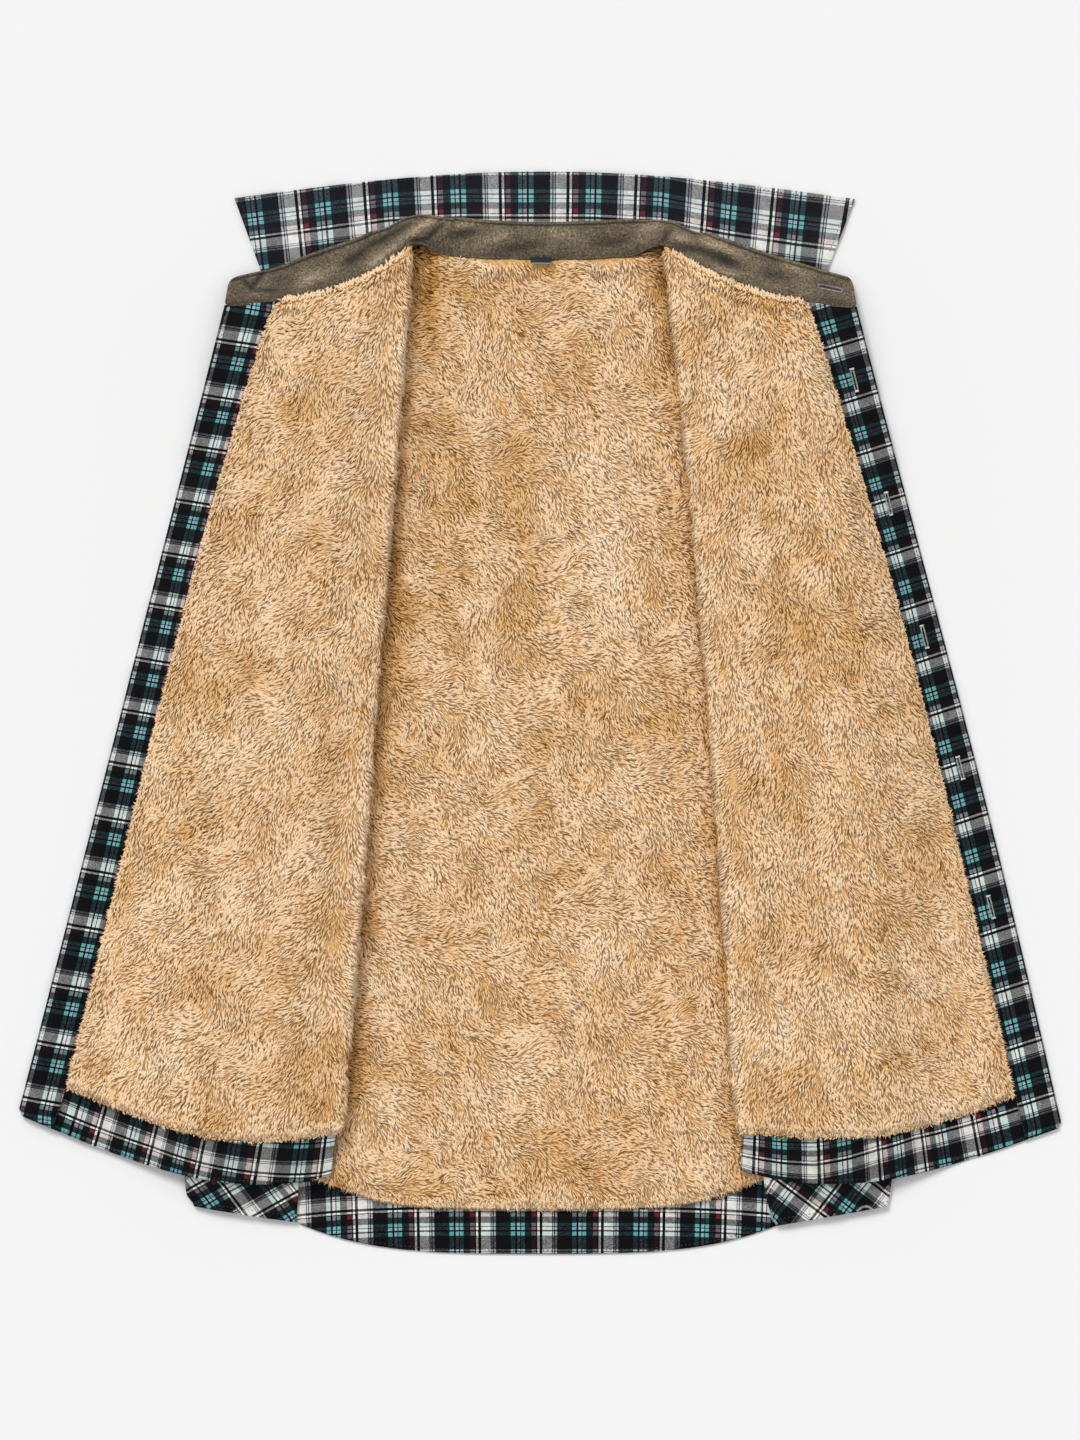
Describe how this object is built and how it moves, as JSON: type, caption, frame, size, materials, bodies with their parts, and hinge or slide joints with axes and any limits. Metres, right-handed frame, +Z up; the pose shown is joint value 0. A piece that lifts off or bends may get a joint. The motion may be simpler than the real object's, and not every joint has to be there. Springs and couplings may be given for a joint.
{
  "type": "plush-lined plaid overshirt laid open",
  "caption": "Plaid overshirt with a plush lining, laid open inside up on a flat surface, both fronts folded outwards, collar spread.",
  "frame": {"origin": "on the surface that the garment lies on, under the middle of its bounding box", "axes": "+Z up off the surface, +Y towards the collar, +X towards the wearer's left"},
  "size_m": [0.7726, 0.8006, 0.0311],
  "materials": {
    "flannel": "brushed yarn-dyed plaid twill in navy black, grey, cream, teal and red",
    "plush": "camel shaggy sherpa plush with a curly pile",
    "twill": "mottled olive twill, topstitched",
    "label": "bare dark woven tape",
    "button": "dark four-hole shirt button"
  },
  "bodies": {
    "root": {"back": "flannel", "back_lining": "plush", "front_right": "flannel", "front_lining_right": "plush", "front_facing_right": "flannel", "front_left": "flannel", "front_lining_left": "plush", "front_facing_left": "flannel", "sleeve_right": "flannel", "sleeve_left": "flannel", "cuff_right": "flannel", "cuff_left": "flannel", "collar": "flannel", "collar_band": "twill", "neck_label": "label", "button_1": "button", "button_2": "button", "button_3": "button", "button_4": "button", "button_5": "button", "button_band": "button"}
  },
  "joints": []
}
